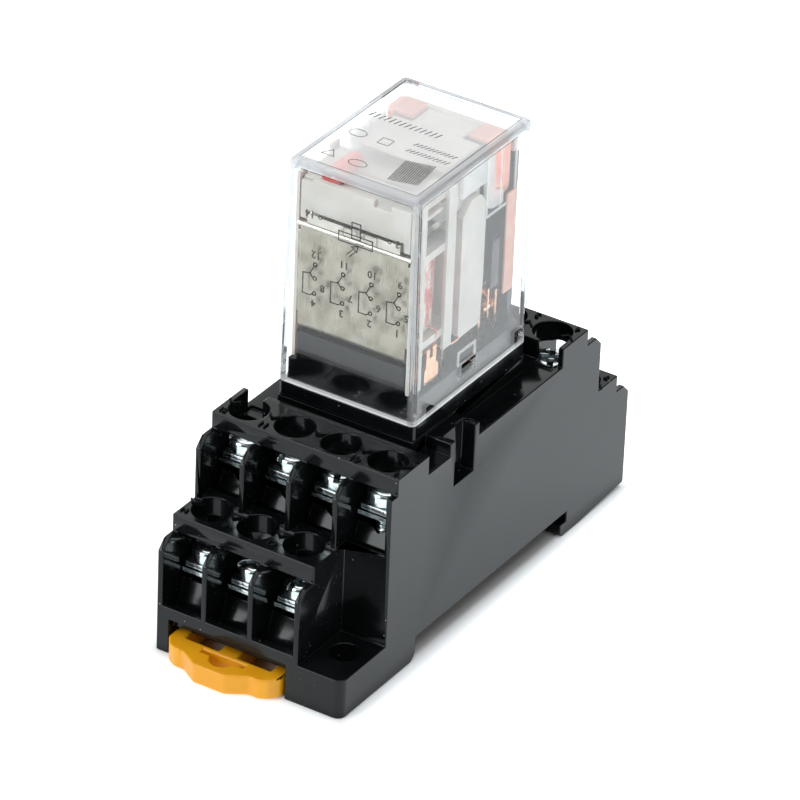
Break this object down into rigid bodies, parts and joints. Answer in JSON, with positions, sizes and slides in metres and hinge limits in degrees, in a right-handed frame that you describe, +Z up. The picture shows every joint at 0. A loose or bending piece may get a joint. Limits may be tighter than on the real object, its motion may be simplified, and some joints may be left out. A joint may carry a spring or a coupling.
{
  "type": "industrial control relay",
  "caption": "Plug-in control relay in a clear cover, standing in a black DIN rail socket with two tiers of screw terminals at each end and a sliding yellow rail hook.",
  "frame": {"origin": "middle of the footprint, on the mounting face", "axes": "+X across the socket, +Y along the socket away from the rail hook, +Z up from the mounting face to the relay's top"},
  "size_m": [0.0296, 0.0762, 0.0671],
  "materials": {
    "black_plastic": "satin",
    "yellow_plastic": "satin",
    "zinc_plate": "bright zinc plate",
    "clear_cover": "clear, polished",
    "cream_plastic": "satin",
    "enamelled_wire": "enamel",
    "yoke_steel": "plated",
    "spring_steel": "plain",
    "contact_copper": "bright",
    "red_lamp": "gloss"
  },
  "bodies": {
    "socket": {"socket_body": "black_plastic", "socket_back_plate": "black_plastic", "terminal_strip_1": "zinc_plate", "terminal_strip_2": "zinc_plate", "terminal_strip_3": "zinc_plate", "terminal_strip_4": "zinc_plate", "terminal_strip_5": "zinc_plate", "terminal_strip_6": "zinc_plate", "terminal_strip_7": "zinc_plate", "terminal_strip_8": "zinc_plate", "terminal_strip_9": "zinc_plate", "terminal_strip_10": "zinc_plate", "terminal_strip_11": "zinc_plate", "terminal_strip_12": "zinc_plate", "terminal_strip_13": "zinc_plate", "terminal_strip_14": "zinc_plate"},
    "rail_hook": {"din_rail_hook": "yellow_plastic"},
    "screw_1": {"terminal_screw_1": "zinc_plate"},
    "screw_2": {"terminal_screw_2": "zinc_plate"},
    "screw_3": {"terminal_screw_3": "zinc_plate"},
    "screw_4": {"terminal_screw_4": "zinc_plate"},
    "screw_5": {"terminal_screw_5": "zinc_plate"},
    "screw_6": {"terminal_screw_6": "zinc_plate"},
    "screw_7": {"terminal_screw_7": "zinc_plate"},
    "screw_8": {"terminal_screw_8": "zinc_plate"},
    "screw_9": {"terminal_screw_9": "zinc_plate"},
    "screw_10": {"terminal_screw_10": "zinc_plate"},
    "screw_11": {"terminal_screw_11": "zinc_plate"},
    "screw_12": {"terminal_screw_12": "zinc_plate"},
    "screw_13": {"terminal_screw_13": "zinc_plate"},
    "screw_14": {"terminal_screw_14": "zinc_plate"},
    "relay": {"relay_cover": "clear_cover", "relay_base": "black_plastic", "coil_bobbin": "cream_plastic", "coil_winding": "enamelled_wire", "magnet_core": "yoke_steel", "magnet_yoke": "yoke_steel", "return_spring": "spring_steel", "contact_frame": "black_plastic", "indicator_lamp": "red_lamp", "coil_pin_1": "contact_copper", "coil_pin_2": "contact_copper", "common_pin_1": "contact_copper", "common_pin_2": "contact_copper", "common_pin_3": "contact_copper", "common_pin_4": "contact_copper", "open_contact_1": "contact_copper", "open_contact_2": "contact_copper", "open_contact_3": "contact_copper", "open_contact_4": "contact_copper", "closed_contact_1": "contact_copper", "closed_contact_2": "contact_copper", "closed_contact_3": "contact_copper", "closed_contact_4": "contact_copper"},
    "armature_assembly": {"armature": "yoke_steel", "moving_block": "cream_plastic", "moving_contact_1": "contact_copper", "moving_contact_2": "contact_copper", "moving_contact_3": "contact_copper", "moving_contact_4": "contact_copper"}
  },
  "joints": [
    {"name": "hook_slide", "type": "slide", "parent": "socket", "child": "rail_hook", "axis": [0, -1, 0], "range_m": [0, 0.003], "stiffness_N_per_m": 1500, "springref_m": -0.0005},
    {"name": "screw_1_turn", "type": "hinge", "parent": "socket", "child": "screw_1", "pos_m": [-0.01099, -0.0185, 0.0253], "axis": [0, 0, 1], "continuous": true},
    {"name": "screw_2_turn", "type": "hinge", "parent": "socket", "child": "screw_2", "pos_m": [-0.00366, -0.0185, 0.0253], "axis": [0, 0, 1], "continuous": true},
    {"name": "screw_3_turn", "type": "hinge", "parent": "socket", "child": "screw_3", "pos_m": [0.00366, -0.0185, 0.0253], "axis": [0, 0, 1], "continuous": true},
    {"name": "screw_4_turn", "type": "hinge", "parent": "socket", "child": "screw_4", "pos_m": [0.01099, -0.0185, 0.0253], "axis": [0, 0, 1], "continuous": true},
    {"name": "screw_5_turn", "type": "hinge", "parent": "socket", "child": "screw_5", "pos_m": [-0.01099, -0.0268, 0.0123], "axis": [0, 0, 1], "continuous": true},
    {"name": "screw_6_turn", "type": "hinge", "parent": "socket", "child": "screw_6", "pos_m": [-0.00366, -0.0268, 0.0123], "axis": [0, 0, 1], "continuous": true},
    {"name": "screw_7_turn", "type": "hinge", "parent": "socket", "child": "screw_7", "pos_m": [0.00366, -0.0268, 0.0123], "axis": [0, 0, 1], "continuous": true},
    {"name": "screw_8_turn", "type": "hinge", "parent": "socket", "child": "screw_8", "pos_m": [0.01099, 0.0227, 0.0253], "axis": [0, 0, 1], "continuous": true},
    {"name": "screw_9_turn", "type": "hinge", "parent": "socket", "child": "screw_9", "pos_m": [0.00366, 0.0227, 0.0253], "axis": [0, 0, 1], "continuous": true},
    {"name": "screw_10_turn", "type": "hinge", "parent": "socket", "child": "screw_10", "pos_m": [-0.00366, 0.0227, 0.0253], "axis": [0, 0, 1], "continuous": true},
    {"name": "screw_11_turn", "type": "hinge", "parent": "socket", "child": "screw_11", "pos_m": [-0.01099, 0.0227, 0.0253], "axis": [0, 0, 1], "continuous": true},
    {"name": "screw_12_turn", "type": "hinge", "parent": "socket", "child": "screw_12", "pos_m": [0.01099, 0.031, 0.0123], "axis": [0, 0, 1], "continuous": true},
    {"name": "screw_13_turn", "type": "hinge", "parent": "socket", "child": "screw_13", "pos_m": [0.00366, 0.031, 0.0123], "axis": [0, 0, 1], "continuous": true},
    {"name": "screw_14_turn", "type": "hinge", "parent": "socket", "child": "screw_14", "pos_m": [-0.00366, 0.031, 0.0123], "axis": [0, 0, 1], "continuous": true},
    {"name": "relay_lift", "type": "slide", "parent": "socket", "child": "relay", "axis": [0, 0, 1], "range_m": [0, 0.02]},
    {"name": "armature_rock", "type": "hinge", "parent": "relay", "child": "armature_assembly", "pos_m": [0, -0.0105, 0.0578], "axis": [-1, 0, 0], "range_deg": [0, 2.8], "stiffness_Nm_per_rad": 0.05, "springref_deg": -2.86}
  ]
}
